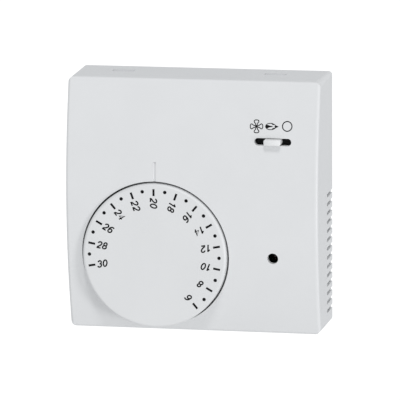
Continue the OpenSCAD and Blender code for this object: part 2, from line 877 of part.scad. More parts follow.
module lamp_leads() {
    color(steel_colour) on_wall() translate([lamp_x, lamp_y, 0]) for (x = [-1, 1])
        translate([lead_x * x, 0, 0]) rod(0.3, board_z - pin_reach, board_top + 4);
}

module heater_resistor() {
    color([0.75, 0.68, 0.5]) on_wall() translate([resistor_at[0], resistor_at[1], board_top + 1.9])
        rotate([90, 0, 0]) cylinder(r = 1.5, h = 7.5, center = true);
}

module resistor_leads() {
    z = board_top + 1.9;
    color(steel_colour) on_wall() translate([resistor_at[0], resistor_at[1], 0]) for (y = [-1, 1])
        bent_wire([
            [0, 4.08 * y, z],
            [0, resistor_lead_y * y, z],
            [0, resistor_lead_y * y, board_z - pin_reach]
        ], 0.3);
}

// Insulated wires from the switch blades to two clamps and to the board
module hookup_wires() {
    x = case_x[0] + 3.2;
    y_top = dial_y + case_y[1] + 4.25;
    y_low = dial_y + case_y[0] - 4.25;
    clamp_z = base_t + 3.55;
    clamp_y = block_y[0] + 4.5;
    way_4 = block_x + 1 + 3.5 * way_pitch;
    way_5 = way_4 + way_pitch;
    color([0.15, 0.15, 0.6]) on_wall() {
        bent_wire([[x, y_top, 16.5], [x, 2, 16.5], [4, 9, 12], [way_4 + 2, 19.5, 7],
            [way_4, 23, clamp_z], [way_4, clamp_y, clamp_z]], 0.7);
        bent_wire([[x, y_low, 16.5], [x, y_low - 2.4, 16.5], [12.6, y_low - 4, 11], [16, -31, 11],
            [23, -27, 11.6], [24, -22, board_z - 0.8]], 0.7);
        bent_wire([[x, y_low, 11.6], [x, y_low - 1.6, 11.6], [x + 3.6, y_low + 1, 8], [12.6, -12, 5.6],
            [12.4, 10, 5.6], [9, 17, 5.6], [way_5, 22.5, clamp_z], [way_5, clamp_y, clamp_z]], 0.7);
    }
}

base_plate();
cover_shell();
dial();
dial_retaining_ring();
spindle();
spindle_clip();
spindle_bush();
guide_post();
range_nut();
range_spring();
mechanism_bracket();
bracket_screws();
capsule_rear_disc();
capsule_front_disc();
capsule_button();
filling_tube();
switch_lever();
lever_pin();
switch_case();
switch_lid();
snap_blade();
switch_contacts();
switch_plunger();
switch_terminals();
switch_screws();
terminal_block();
terminal_clamps();
terminal_screws();
circuit_board();
board_screws();
slide_switch_base();
slide_switch_can();
slider_foot();
mode_knob();
dust_shield();
lamp();
lamp_holder();
lamp_leads();
heater_resistor();
resistor_leads();
hookup_wires();
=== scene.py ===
"""Wall thermostat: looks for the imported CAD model.

Every piece is placed from the CAD frame, in metres: +Z up, +X right, and the front looks along -Y.
Lengths below are in millimetres and are turned into metres by MM.
"""
import json
import math

import bpy
import bmesh
from mathutils import Matrix, Vector
from mathutils.bvhtree import BVHTree


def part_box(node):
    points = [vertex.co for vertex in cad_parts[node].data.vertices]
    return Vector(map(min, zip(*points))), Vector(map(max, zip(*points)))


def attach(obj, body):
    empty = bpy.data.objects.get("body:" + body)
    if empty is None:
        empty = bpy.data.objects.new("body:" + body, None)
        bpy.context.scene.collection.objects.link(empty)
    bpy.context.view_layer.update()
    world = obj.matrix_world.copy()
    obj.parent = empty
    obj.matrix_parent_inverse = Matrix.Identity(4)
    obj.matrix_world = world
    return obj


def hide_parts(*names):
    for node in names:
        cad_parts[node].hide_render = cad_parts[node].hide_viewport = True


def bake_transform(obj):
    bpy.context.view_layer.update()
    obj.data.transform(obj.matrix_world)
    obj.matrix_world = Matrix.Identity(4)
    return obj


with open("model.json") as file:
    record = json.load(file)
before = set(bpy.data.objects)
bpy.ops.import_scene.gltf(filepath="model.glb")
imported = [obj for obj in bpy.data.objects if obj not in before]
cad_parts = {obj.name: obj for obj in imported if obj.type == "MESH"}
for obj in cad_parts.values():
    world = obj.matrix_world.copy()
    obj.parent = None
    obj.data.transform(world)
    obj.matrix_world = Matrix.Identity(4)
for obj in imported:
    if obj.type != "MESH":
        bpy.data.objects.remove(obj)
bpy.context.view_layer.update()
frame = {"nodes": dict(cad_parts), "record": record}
NODES = frame["nodes"]
MM = 0.001


# ---------------------------------------------------------------- places from the frame

def middle(node):
    low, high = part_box(node)
    return (low + high) / 2


def front(node):
    """How far the node's front face stands along Y."""
    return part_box(node)[0].y


dial_at = middle("dial_retaining_ring")
dial_at.x = middle("spindle").x
dial_at.z = middle("spindle_bush").z
slot_at = middle("mode_knob")
lamp_at = middle("lamp")
KNOB_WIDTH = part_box("mode_knob")[1].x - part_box("mode_knob")[0].x


# ---------------------------------------------------------------- camera, lights, floor

def make_camera():
    """A long lens, a little to the right and above, square to the picture but for a slight lean."""
    azimuth, elevation, roll = math.radians(11.25), math.radians(10.94), math.radians(-0.386)
    distance = 1.43
    depth_aimed_at = 12 * MM
    back = Vector((
        math.sin(azimuth) * math.cos(elevation),
        -math.cos(azimuth) * math.cos(elevation),
        math.sin(elevation),
    ))
    level = Vector((math.cos(azimuth), math.sin(azimuth), 0))
    rise = back.cross(level)
    right = math.cos(roll) * level + math.sin(roll) * rise
    up = back.cross(right)
    aim = Vector((0, -depth_aimed_at, 0)) - 0.42 * MM * right - 0.38 * MM * up
    data = bpy.data.cameras.new("camera")
    data.lens = 389
    data.sensor_width = 36
    data.clip_start = 0.05
    data.clip_end = 40
    camera = bpy.data.objects.new("camera", data)
    turn = Matrix((right, up, back)).transposed()
    camera.matrix_world = Matrix.Translation(aim + distance * back) @ turn.to_4x4()
    bpy.context.scene.collection.objects.link(camera)
    bpy.context.scene.camera = camera


def make_world(fill_strength):
    """Soft fill light all round, and plain white to the camera."""
    world = bpy.data.worlds.new("studio")
    bpy.context.scene.world = world
    world.use_nodes = True
    nodes, links = world.node_tree.nodes, world.node_tree.links
    nodes.clear()
    out = nodes.new("ShaderNodeOutputWorld")
    fill = nodes.new("ShaderNodeBackground")
    fill.inputs["Color"].default_value = (0.96, 0.98, 1.0, 1)
    fill.inputs["Strength"].default_value = fill_strength
    white = nodes.new("ShaderNodeBackground")
    white.inputs["Color"].default_value = (1, 1, 1, 1)
    white.inputs["Strength"].default_value = 1.1  # a little over 1, so that it stays pure white
    pick = nodes.new("ShaderNodeMixShader")
    path = nodes.new("ShaderNodeLightPath")
    links.new(path.outputs["Is Camera Ray"], pick.inputs["Fac"])
    links.new(fill.outputs[0], pick.inputs[1])
    links.new(white.outputs[0], pick.inputs[2])
    links.new(pick.outputs[0], out.inputs["Surface"])


def area_light(name, place, size, power):
    """A square soft box that looks at the thermostat."""
    data = bpy.data.lights.new(name, "AREA")
    data.shape = "SQUARE"
    data.size = size
    data.energy = power
    light = bpy.data.objects.new(name, data)
    light.location = place
    light.rotation_euler = (-Vector(place)).to_track_quat("-Z", "Y").to_euler()
    bpy.context.scene.collection.objects.link(light)


def make_floor():
    """A pale studio floor, well below the thermostat on its wall."""
    material = bpy.data.materials.new("floor")
    material.use_nodes = True
    paint = material.node_tree.nodes["Principled BSDF"]
    paint.inputs["Base Color"].default_value = (0.85, 0.85, 0.85, 1)
    paint.inputs["Roughness"].default_value = 0.8
    side, near, far, level = 2.2, -1, 2.2, -0.7
    corners = [(-side, near, level), (side, near, level), (side, far, level), (-side, far, level)]
    floor = mesh_object("studio_floor", corners, [(0, 1, 2, 3)])
    floor.data.materials.append(material)


# ---------------------------------------------------------------- materials

class Paint:
    """A Principled material with textures that are laid out in the object's own metres."""

    def __init__(self, name, colour, roughness, metallic=0.0, specular=0.5, coat=0.0, coat_roughness=0.1):
        self.material = bpy.data.materials.new(name)
        self.material.use_nodes = True
        self.tree = self.material.node_tree
        self.colour = colour
        self.roughness = roughness
        self.surface = self.tree.nodes["Principled BSDF"]
        self.set("Base Color", (*colour, 1))
        self.set("Roughness", roughness)
        self.set("Metallic", metallic)
        self.set("Specular IOR Level", specular)
        self.set("Coat Weight", coat)
        self.set("Coat Roughness", coat_roughness)
        self.place = self.tree.nodes.new("ShaderNodeTexCoord").outputs["Object"]

    def set(self, socket, value):
        self.surface.inputs[socket].default_value = value

    def link(self, output, target):
        self.tree.links.new(output, target)

    def laid(self, scale=(1, 1, 1), shift=(0, 0, 0)):
        """Object coordinates moved by shift and then stretched."""
        move = self.tree.nodes.new("ShaderNodeVectorMath")
        move.operation = "SUBTRACT"
        move.inputs[1].default_value = shift
        self.link(self.place, move.inputs[0])
        stretch = self.tree.nodes.new("ShaderNodeVectorMath")
        stretch.operation = "MULTIPLY"
        stretch.inputs[1].default_value = scale
        self.link(move.outputs[0], stretch.inputs[0])
        return stretch.outputs[0]

    def noise(self, size_mm, detail=2.0, stretch=(1, 1, 1)):
        """Noise whose blobs are about size_mm across."""
        node = self.tree.nodes.new("ShaderNodeTexNoise")
        node.inputs["Scale"].default_value = 1 / (size_mm * MM)
        node.inputs["Detail"].default_value = detail
        self.link(self.laid(stretch), node.inputs["Vector"])
        return node.outputs["Fac"]

    def rings(self, size_mm, about):
        """Turning marks about an axis along Y through a point; size_mm is one radian of their wave."""
        node = self.tree.nodes.new("ShaderNodeTexWave")
        node.wave_type = "RINGS"
        node.rings_direction = "Y"
        phase_per_unit = 20  # radians that the wave texture runs through in one unit of its space
        node.inputs["Scale"].default_value = 1 / (size_mm * MM) / phase_per_unit
        node.inputs["Distortion"].default_value = 1.5
        node.inputs["Detail"].default_value = 2.0
        self.link(self.laid((1, 1, 1), about), node.inputs["Vector"])
        return node.outputs["Fac"]

    def spread(self, value, low, high, floor=0.3, ceiling=0.7):
        """Map a texture value to a range of numbers."""
        node = self.tree.nodes.new("ShaderNodeMapRange")
        node.inputs["From Min"].default_value = floor
        node.inputs["From Max"].default_value = ceiling
        node.inputs["To Min"].default_value = low
        node.inputs["To Max"].default_value = high
        self.link(value, node.inputs["Value"])
        return node.outputs["Result"]

    def mottle(self, value, other, amount=1.0):
        """Let the colour drift towards another one where the texture is high."""
        node = self.tree.nodes.new("ShaderNodeMix")
        node.data_type = "RGBA"
        self.link(self.spread(value, 0, amount, 0.35, 0.65), node.inputs["Factor"])
        source = self.surface.inputs["Base Color"]
        if source.is_linked:
            self.link(source.links[0].from_socket, node.inputs["A"])
        else:
            node.inputs["A"].default_value = source.default_value
        node.inputs["B"].default_value = (*other, 1)
        self.link(node.outputs["Result"], source)
        return self

    def sheen_of(self, value, by):
        """Let the roughness wander by this much each way."""
        range_of_gloss = self.spread(value, self.roughness - by, self.roughness + by)
        self.link(range_of_gloss, self.surface.inputs["Roughness"])
        return self

    def relief(self, value, height_mm):
        """Add a bump of about this height on top of any bump there is."""
        node = self.tree.nodes.new("ShaderNodeBump")
        node.inputs["Strength"].default_value = 1.0
        node.inputs["Distance"].default_value = height_mm * MM
        self.link(value, node.inputs["Height"])
        target = self.surface.inputs["Normal"]
        if target.is_linked:
            self.link(target.links[0].from_socket, node.inputs["Normal"])
        self.link(node.outputs["Normal"], target)
        return self


def moulded(name, colour, roughness, grain_mm=0.22, grain_height=0.004, drift=0.985, **more):
    """Moulded plastic: fine spark grain, a faint drift of tone and uneven gloss."""
    paint = Paint(name, colour, roughness, **more)
    paint.mottle(paint.noise(14, 3), tuple(c * drift for c in colour))
    paint.sheen_of(paint.noise(6, 3), 0.04)
    paint.relief(paint.noise(grain_mm, 2), grain_height)
    return paint.material


def plated(name, colour, roughness, along=(1, 1, 0.06), metallic=0.9):
    """Rolled and plated sheet: streaks along one way, dull patches and tiny scratches."""
    paint = Paint(name, colour, roughness, metallic=metallic)
    paint.mottle(paint.noise(3.5, 4), tuple(c * 0.8 for c in colour), 0.6)
    paint.sheen_of(paint.noise(0.35, 3, along), 0.1)
    paint.relief(paint.noise(0.18, 2, along), 0.003)
    return paint.material


def turned(name, colour, roughness, about):
    """Metal turned on a lathe, with rings about its own axis."""
    paint = Paint(name, colour, roughness, metallic=1.0)
    paint.mottle(paint.noise(1.5, 3), tuple(c * 0.82 for c in colour), 0.7)
    paint.sheen_of(paint.noise(0.6, 3), 0.08)
    paint.relief(paint.rings(0.25, about), 0.004)
    return paint.material


def solder_mask(name, colour):
    """Lacquered glass-fibre board: a weave under a glossy coat."""
    paint = Paint(name, colour, 0.42, specular=0.5, coat=0.35, coat_roughness=0.2)
    paint.mottle(paint.noise(5, 3), tuple(c * 0.75 for c in colour))
    paint.mottle(paint.noise(0.35, 1, (1, 1, 0.2)), tuple(min(1, c * 1.35) for c in colour), 0.5)
    paint.relief(paint.noise(0.5, 1, (0.2, 1, 1)), 0.006)
    return paint.material


def printed(name, colour):
    """Pad-printed ink: dense, slightly uneven and satin."""
    paint = Paint(name, colour, 0.6, specular=0.12)
    paint.mottle(paint.noise(0.5, 3), tuple(c * 1.8 for c in colour), 0.6)
    paint.sheen_of(paint.noise(0.4, 2), 0.08)
    paint.relief(paint.noise(0.15, 2), 0.002)
    return paint.material


def tinted_lens(name, colour):
    """Dark red lamp lens, smooth and glossy, its tone drifting darker in patches; its near-black colour is
    partly the lens's own tint and partly painted shade for the dark hole it sits in.
    """
    paint = Paint(name, colour, 0.15, specular=0.3, coat=0.25, coat_roughness=0.05)
    paint.mottle(paint.noise(1.2, 2), tuple(c * 0.5 for c in colour), 0.6)
    paint.sheen_of(paint.noise(0.8, 2), 0.03)
    return paint.material


def make_materials():
    return {
        "casing_white": moulded("casing_white", (0.80, 0.805, 0.812), 0.42),
        "dial_white": moulded("dial_white", (0.79, 0.795, 0.80), 0.4, grain_mm=0.3, grain_height=0.002),
        "knob_white": moulded("knob_white", (0.86, 0.862, 0.865), 0.34, grain_mm=0.2, grain_height=0.002),
        "base_white": moulded("base_white", (0.81, 0.812, 0.81), 0.46, grain_mm=0.35, grain_height=0.006,
                              drift=0.96),
        "print_black": printed("print_black", (0.004, 0.004, 0.0045)),
        "zinc_steel": plated("zinc_steel", (0.62, 0.63, 0.65), 0.32),
        "brass": turned("brass", (0.72, 0.52, 0.24), 0.28, tuple(dial_at)),
        "bronze": plated("bronze", (0.62, 0.38, 0.2), 0.34, (1, 1, 1), metallic=1.0),
        "copper": plated("copper", (0.7, 0.34, 0.2), 0.3, (1, 1, 1), metallic=1.0),
        # black_plastic: partly the plastic's own black and partly painted shade; turned darker and duller
        # so that what shows through the slider's slot looks as dark as the slot's shade
        "black_plastic": moulded("black_plastic", (0.01, 0.01, 0.011), 0.5, grain_height=0.006, drift=1.4,
                                 specular=0.2),
        "cream_plastic": moulded("cream_plastic", (0.74, 0.70, 0.60), 0.4, grain_height=0.004, drift=0.94),
        "red_plastic": moulded("red_plastic", (0.52, 0.05, 0.035), 0.35, drift=0.8),
        "board_green": solder_mask("board_green", (0.02, 0.13, 0.06)),
        "board_brown": moulded("board_brown", (0.2, 0.1, 0.05), 0.5, grain_mm=0.5, grain_height=0.01,
                               drift=0.7),
        # lamp_red: near-black, partly the lens's own tint and partly painted shade inside the lamp's hole
        "lamp_red": tinted_lens("lamp_red", (0.02, 0.002, 0.002)),
        "resistor_tan": moulded("resistor_tan", (0.6, 0.49, 0.3), 0.3, drift=0.85, coat=0.3),
        "wire_blue": moulded("wire_blue", (0.03, 0.08, 0.36), 0.32, grain_mm=0.4, drift=0.8),
    }


# ---------------------------------------------------------------- mesh helpers

def mesh_object(name, points, faces):
    mesh = bpy.data.meshes.new(name)
    mesh.from_pydata(points, [], faces)
    piece = bpy.data.objects.new(name, mesh)
    bpy.context.scene.collection.objects.link(piece)
    return piece


def outward(piece):
    """Point every face away from the inside."""
    shape = bmesh.new()
    shape.from_mesh(piece.data)
    bmesh.ops.remove_doubles(shape, verts=shape.verts, dist=1e-7)
    bmesh.ops.recalc_face_normals(shape, faces=shape.faces)
    shape.to_mesh(piece.data)
    shape.free()
    return piece


def smoothed(piece):
    """Smooth shading, kept sharp at edges steeper than 40 degrees."""
    piece.data.shade_smooth()
    piece.data.set_sharp_from_angle(angle=math.radians(40))
    return piece


def painted(piece, slot):
    """Give a piece the finish of a slot, which has the same name as its material."""
    piece.data.materials.append(MATERIALS[slot])


def finished(piece, body, slot, *stands_for):
    """Say what a piece rides on, its finish, and the CAD nodes that it stands for."""
    painted(piece, slot)
    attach(piece, body)
    if stands_for:
        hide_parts(*stands_for)


class Ink:
    """Flat shapes drawn in the plane of the front, raised by the thickness of the ink."""

    def __init__(self, depth_at, film_mm=0.02):
        self.depth_at = depth_at
        self.film = film_mm * MM
        self.points = []
        self.faces = []

    def outline(self, loops_faces):
        """Add a closed slab under each flat face, given as lists of (x, z) points in metres."""
        for loop in loops_faces:
            start = len(self.points)
            count = len(loop)
            for lift in (self.film, -self.film / 2):
                for x, z in loop:
                    self.points.append((x, self.depth_at(x, z) - lift, z))
            self.faces.append(tuple(range(start, start + count)))
            self.faces.append(tuple(range(start + 2 * count - 1, start + count - 1, -1)))
            for i in range(count):
                j = (i + 1) % count
                self.faces.append((start + i, start + count + i, start + count + j, start + j))

    def stroke(self, points, width, closed=False):
        """A line of even width through the points."""
        count = len(points)
        spans = count if closed else count - 1
        sides = []
        for i, at in enumerate(points):
            before = points[i - 1] if (closed or i > 0) else at
            after = points[(i + 1) % count] if (closed or i < count - 1) else at
            along = Vector((after[0] - before[0], after[1] - before[1])).normalized()
            across = Vector((-along.y, along.x)) * width / 2
            sides.append(((at[0] + across.x, at[1] + across.y), (at[0] - across.x, at[1] - across.y)))
        for i in range(spans):
            j = (i + 1) % count
            self.outline([[sides[i][0], sides[j][0], sides[j][1], sides[i][1]]])

    def disc(self, x, z, radius):
        sides = 28
        self.outline([arc(x, z, radius, radius, 0, 360, sides)[:-1]])

    def piece(self, name):
        return outward(mesh_object(name, self.points, self.faces))


def arc(x, z, across, tall, start, end, steps=14):
    """Points on an oval, from one angle to another in degrees."""
    angles = [math.radians(start + (end - start) * i / steps) for i in range(steps + 1)]
    return [(x + across * math.cos(angle), z + tall * math.sin(angle)) for angle in angles]


def circle_points(at, radius, first, second, sides):
    """Points round a circle at a place, in the plane of two directions."""
    angles = [math.tau * j / sides for j in range(sides)]
    return [at + radius * (math.cos(angle) * first + math.sin(angle) * second) for angle in angles]


# pen strokes of the dial's digits, in a cell 1 high and centred on (0, 0)
DIGITS = {
    "0": [arc(0, 0, 0.255, 0.43, 0, 360, 28)],
    "1": [[(0.09, -0.5), (0.09, 0.48)], [(-0.17, 0.24), (-0.04, 0.29), (0.07, 0.42)]],
    "2": [arc(0, 0.2, 0.255, 0.23, 175, -20)
          + [(0.12, -0.08), (-0.2, -0.33), (-0.26, -0.43), (0.29, -0.43)]],
    "3": [arc(-0.01, 0.21, 0.23, 0.22, 165, -90), arc(-0.01, -0.205, 0.26, 0.225, 90, -170)],
    "4": [[(0.13, -0.5), (0.13, 0.42), (-0.27, -0.2), (0.31, -0.2)]],
    "6": [arc(0.01, -0.17, 0.245, 0.26, 0, 360, 24), arc(0.07, 0.0, 0.325, 0.43, 185, 52)],
    "8": [arc(0, 0.22, 0.215, 0.21, 0, 360, 24), arc(0, -0.205, 0.255, 0.225, 0, 360, 24)],
}


class Solid:
    """Swept and turned shapes collected into one mesh."""

    def __init__(self):
        self.points = []
        self.faces = []

    def skin(self, rings):
        """Join rings of points, one after another, and close both ends."""
        start = len(self.points)
        count = len(rings[0])
        for ring in rings:
            self.points.extend(ring)
        for i in range(len(rings) - 1):
            for j in range(count):
                k = (j + 1) % count
                a, b = start + i * count, start + (i + 1) * count
                self.faces.append((a + j, a + k, b + k, b + j))
        self.faces.append(tuple(range(start, start + count)))
        self.faces.append(tuple(range(start + (len(rings) - 1) * count, start + len(rings) * count)))

    def tube(self, route, radius, sides=16, step=6, end_radius=None):
        """A round tube along a smooth curve through the route's points."""
        path = smooth_route(route, step)
        normal = (path[1] - path[0]).orthogonal().normalized()
        rings = []
        for i, at in enumerate(path):
            along = (path[min(i + 1, len(path) - 1)] - path[max(i - 1, 0)]).normalized()
            normal = (normal - normal.dot(along) * along).normalized()
            other = along.cross(normal)
            r = radius if end_radius is None or i < len(path) - step else end_radius
            rings.append(circle_points(at, r, normal, other, sides))
        self.skin(rings)

    def turned(self, profile, at, axis, sides=32):
        """A lathe shape: (distance along the axis, radius) pairs in metres."""
        axis = Vector(axis).normalized()
        normal = axis.orthogonal().normalized()
        other = axis.cross(normal)
        self.skin([circle_points(at + along * axis, r, normal, other, sides) for along, r in profile])

    def piece(self, name):
        return smoothed(outward(mesh_object(name, self.points, self.faces)))


def smooth_route(route, step):
    """Points of a Catmull-Rom curve through the route."""
    ends = [2 * route[0] - route[1], *route, 2 * route[-1] - route[-2]]
    path = []
    for i in range(1, len(ends) - 2):
        a, b, c, d = ends[i - 1:i + 3]
        for k in range(step):
            t = k / step
            path.append(0.5 * (2 * b + (c - a) * t + (2 * a - 5 * b + 4 * c - d) * t ** 2
                               + (3 * b - a - 3 * c + d) * t ** 3))
    path.append(route[-1])
    return path


def in_metres(pairs):
    """A profile given in millimetres."""
    return [(along * MM, across * MM) for along, across in pairs]


def panel(x, y, z):
    """Millimetres across, up the wall and out from the wall, as a place in the frame."""
    return Vector((x, -z, y)) * MM


# ---------------------------------------------------------------- printing on the dial

MARK_STEP = math.radians(10)     # turn of the dial for one degree of temperature
POINTED_AT = 20                  # temperature at the pointer
COLDEST, WARMEST = 6, 30
DIGIT_HEIGHT = 2.4 * MM
DIGIT_PEN = 0.46 * MM
DIGIT_SLANT = 0.2
PAIR_AT = 18.55 * MM             # from the dial's axis to the outer digit of a pair
PAIR_PITCH = 1.84 * MM
SINGLE_AT = 17.7 * MM
DOT_AT, DOT_RADIUS = 21.7 * MM, 0.58 * MM
TICK_FROM, TICK_TO, TICK_PEN = 22.35 * MM, 20.05 * MM, 0.7 * MM


def make_dial_print():
    """Ticks and slanted numbers at the even temperatures, and dots at the odd ones."""
    face = front("dial")
    ink = Ink(lambda x, z: face)
    for temperature in range(COLDEST, WARMEST + 1):
        angle = math.pi / 2 + (temperature - POINTED_AT) * MARK_STEP
        out = Vector((math.cos(angle), math.sin(angle)))
        centre = Vector((dial_at.x, dial_at.z))
        if temperature % 2:
            ink.disc(*(centre + DOT_AT * out), DOT_RADIUS)
            continue
        ink.stroke([tuple(centre + r * out) for r in (TICK_FROM, TICK_TO)], TICK_PEN)
        up = Vector((out.y, -out.x))
        digits = str(temperature)
        for place, digit in enumerate(digits):
            radius = PAIR_AT - PAIR_PITCH * place if len(digits) == 2 else SINGLE_AT
            for pen in DIGITS[digit]:
                cell = [((x + DIGIT_SLANT * z) * DIGIT_HEIGHT, z * DIGIT_HEIGHT) for x, z in pen]
                ink.stroke([tuple(centre + (radius - x) * out + z * up) for x, z in cell], DIGIT_PEN)
    finished(ink.piece("dial_print"), "dial", "print_black")


# ---------------------------------------------------------------- printing on the cover

def cover_surface():
    """The depth of the cover's front at a place, felt for with a ray."""
    cover = NODES["cover_shell"].data
    faces = [tuple(p.vertices) for p in cover.polygons]
    tree = BVHTree.FromPolygons([v.co for v in cover.vertices], faces)

    def depth_at(x, z):
        hit = tree.ray_cast(Vector((x, -1, z)), Vector((0, 1, 0)))
        return hit[0].y
    return depth_at


def fan_blade(turn):
    """Outline of one blade of the fan mark: narrow at the hub, flared and cut at its tip."""
    shape = [(0.4, 0.24), (0.9, 0.36), (1.3, 0.7), (1.6, 0.86), (1.85, 0.74), (2.05, 0.4), (2.05, -0.35),
             (1.85, -0.72), (1.5, -0.74), (1.2, -0.5), (0.9, -0.3), (0.4, -0.24)]
    c, s = math.cos(turn), math.sin(turn)
    return [(c * x - s * z, s * x + c * z) for x, z in shape]


def make_cover_print():
    """Fan, flame and off marks above the slider, in a row."""
    ink = Ink(cover_surface())
    line = 0.3 * MM

    def at(place, x, z):
        return place[0] + x * MM, place[1] + z * MM

    row = at((slot_at.x, slot_at.z), 0, 5.05)
    fan = at(row, -5.5, -0.12)
    for quarter in range(4):
        ink.stroke([at(fan, x, z) for x, z in fan_blade(quarter * math.pi / 2)], line)
    ink.disc(*fan, 0.45 * MM)

    flame = at(row, -0.42, -0.05)
    half = [(-2.1, 0.0), (-1.95, 0.45), (-1.5, 0.8), (-0.8, 1.02), (0.0, 1.0), (0.7, 0.72), (1.3, 0.3),
            (2.15, 0.0)]
    body = half + [(x, -z) for x, z in reversed(half[1:-1])]
    ink.stroke([at(flame, x, z) for x, z in body], 0.8 * line, closed=True)
    for patch in (
        [(-2.15, 0.0), (-2.0, 0.5), (-1.35, 0.48), (-0.6, 0.24), (0.5, 0.04), (-0.2, -0.2), (-0.9, -0.28),
         (-1.3, -0.54), (-1.85, -0.55)],
        [(-0.35, 1.12), (0.5, 0.95), (1.0, 0.6), (0.2, 0.5)],
        [(0.2, -0.5), (1.35, -0.3), (1.0, -0.75), (0.1, -1.12)],
        [(1.1, 0.38), (2.25, 0.0), (1.1, -0.38), (0.85, 0.0)],
    ):
        ink.outline([[at(flame, x, z) for x, z in patch]])

    off, off_radius = at(row, 4.64, 0.13), 1.56 * MM
    ink.stroke(arc(*off, off_radius, off_radius, 0, 351, 39), 1.1 * line, closed=True)
    finished(ink.piece("cover_print"), "cover", "print_black")


# ---------------------------------------------------------------- slider knob

def rounded_ring(width, height, corner, y, crown=0.0):
    """Points round a rounded rectangle about the knob's middle, sinking by crown at its ends."""
    points = []
    sides = 8
    for quarter in range(4):
        cx = (width / 2 - corner) * (1 if quarter in (0, 3) else -1)
        cz = (height / 2 - corner) * (1 if quarter in (0, 1) else -1)
        for i in range(sides + 1):
            angle = (quarter + i / sides) * math.pi / 2
            x, z = cx + corner * math.cos(angle), cz + corner * math.sin(angle)
            sink = crown * (2 * x / KNOB_WIDTH) ** 2
            points.append(Vector((slot_at.x + x, y + sink, slot_at.z + z)))
    return points


def make_knob():
    """The slider's knob: a flange under the cover and a crowned thumb pad."""
    low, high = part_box("mode_knob")
    flange_height = high.z - low.z
    flange_front = high.y - 2.2 * MM
    pad_height = 1.9 * MM
    corner = 0.5 * MM
    edge = 0.3 * MM
    crown = 0.45 * MM
    rings = [
        rounded_ring(KNOB_WIDTH, flange_height, corner, high.y),
        rounded_ring(KNOB_WIDTH, flange_height, corner, flange_front),
        rounded_ring(KNOB_WIDTH, pad_height, corner, flange_front),
    ]
    steps = 4
    for i in range(steps + 1):
        turn = math.pi / 2 * i / steps
        inset = edge * (1 - math.cos(turn))
        rise = low.y + edge * (1 - math.sin(turn))
        rings.append(rounded_ring(KNOB_WIDTH - 2 * inset, pad_height - 2 * inset, corner - 0.6 * inset,
                                  rise, crown))
    for share in (0.7, 0.4, 0.1):
        rings.append(rounded_ring((KNOB_WIDTH - 2 * edge) * share, (pad_height - 2 * edge) * share,
                                  edge * share, low.y, crown))
    knob = Solid()
    knob.skin(rings)
    finished(knob.piece("slider_knob"), "slider", "knob_white", "mode_knob")


# ---------------------------------------------------------------- wires and other soft metal

def make_spring():
    """The range spring: a real helix with closed ends."""
    low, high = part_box("range_spring")
    wire = 0.28 * MM
    coil = (high.x - low.x) / 2 - wire
    turns, per_turn = 4.5, 24
    closed_share = 0.12  # of the wire, lying flat at each end
    seat = high.y - wire - 0.5 * MM  # the lever rises up to half a millimetre towards the coil
    count = int(turns * per_turn)
    route = []
    for i in range(count + 1):
        share = min(max((i / count - closed_share) / (1 - 2 * closed_share), 0), 1)
        angle = math.tau * i / per_turn
        route.append(Vector((
            dial_at.x + coil * math.cos(angle),
            seat - share * (seat - low.y - wire),
            dial_at.z + coil * math.sin(angle),
        )))
    spring = Solid()
    spring.tube(route, wire, sides=10, step=1)
    piece = spring.piece("range_spring_coil")
    painted(piece, "zinc_steel")
    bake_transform(piece)
    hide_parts("range_spring")


LEAD_REACH = 6 * MM  # from the resistor's middle to the hole of each of its leads

# across, up and out from the wall, in millimetres: from a switch blade to a clamp or the board
WIRE_ROUTES = [
    [(7.8, -1.7, 16.5), (7.8, 2, 16.5), (4, 9, 12), (-3, 19.5, 7), (-5, 23, 5.75), (-5, 27, 5.75)],
    [(7.8, -30.2, 16.5), (7.8, -32.6, 16.5), (12.6, -34.2, 11), (16, -31, 11), (23, -27, 11.6),
     (24, -22, 13.2)],
    [(7.8, -30.2, 11.6), (7.8, -31.8, 11.6), (11.4, -29.2, 8), (12.6, -12, 5.6), (12.4, 10, 5.6),
     (9, 17, 5.6), (3, 22.5, 5.75), (3, 27, 5.75)],
]


def make_wires():
    """Insulated wires with bare ends in the clamps and crimped sleeves on the switch blades."""
    covers, ends, crimps = Solid(), Solid(), Solid()
    sleeve = in_metres([(-2, 0), (-2, 0.9), (1.6, 0.9), (2, 0.78), (2, 0)])
    for route in WIRE_ROUTES:
        path = [panel(*at) for at in route]
        covers.tube(path, 0.7 * MM, sides=20, step=8)
        ends_in_a_clamp = route[-1][1] > 0
        if ends_in_a_clamp:
            tip = path[-1] + (path[-1] - path[-2]).normalized() * 2.4 * MM
            ends.tube([path[-1], tip], 0.45 * MM, sides=12, step=2)
        crimps.turned(sleeve, path[0], path[1] - path[0], sides=20)
    finished(covers.piece("wire_insulation"), "base", "wire_blue", "hookup_wires")
    finished(ends.piece("wire_strands"), "base", "copper")
    finished(crimps.piece("wire_crimps"), "base", "brass")


